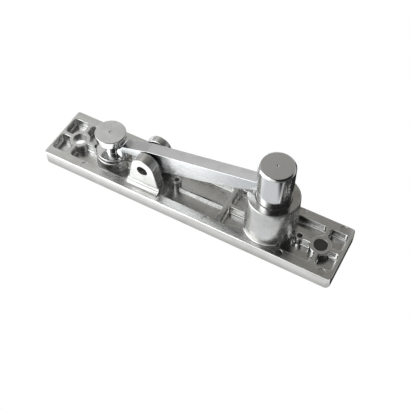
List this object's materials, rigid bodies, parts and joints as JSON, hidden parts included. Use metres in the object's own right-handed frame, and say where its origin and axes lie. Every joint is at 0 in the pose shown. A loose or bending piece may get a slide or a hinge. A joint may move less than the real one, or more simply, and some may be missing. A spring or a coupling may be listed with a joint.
{
  "type": "pivot hinge",
  "caption": "Retractable top pivot for a centre-hung door: a ribbed cast plate with a tall boss, a sliding pivot pin, a rocking lever and a flat-headed adjusting screw.",
  "frame": {"origin": "middle of the plate, on its outer face", "axes": "+X along the plate towards the pivot pin, +Y across it, +Z from the outer face to the hidden side that carries the mechanism"},
  "size_m": [0.1646, 0.033, 0.053],
  "materials": {
    "cast_zinc": "ground rims, bright as-cast pockets",
    "polished_steel": "ground and polished",
    "milled_steel": "satin, bright plated",
    "dark_steel": "plain",
    "turned_steel": "fine turned"
  },
  "bodies": {
    "casting": {"base_casting": "cast_zinc", "lever_pin": "dark_steel"},
    "rocker": {"lever": "milled_steel"},
    "pin": {"pivot_pin": "polished_steel"},
    "screw": {"adjusting_screw": "turned_steel"}
  },
  "joints": [
    {"name": "lever_rock", "type": "hinge", "parent": "casting", "child": "rocker", "pos_m": [-0.0236, 0, 0.0204], "axis": [0, 1, 0], "range_deg": [0, 14]},
    {"name": "pin_slide", "type": "slide", "parent": "casting", "child": "pin", "axis": [0, 0, -1], "range_m": [0, 0.0165]},
    {"name": "screw_travel", "type": "slide", "parent": "casting", "child": "screw", "axis": [0, 0, 1], "range_m": [0, 0.0043]}
  ],
  "couplings": [
    {"joint": "pin_slide", "follows": "lever_rock", "m_per_rad": 0.067},
    {"joint": "screw_travel", "follows": "lever_rock", "m_per_rad": 0.0173}
  ]
}
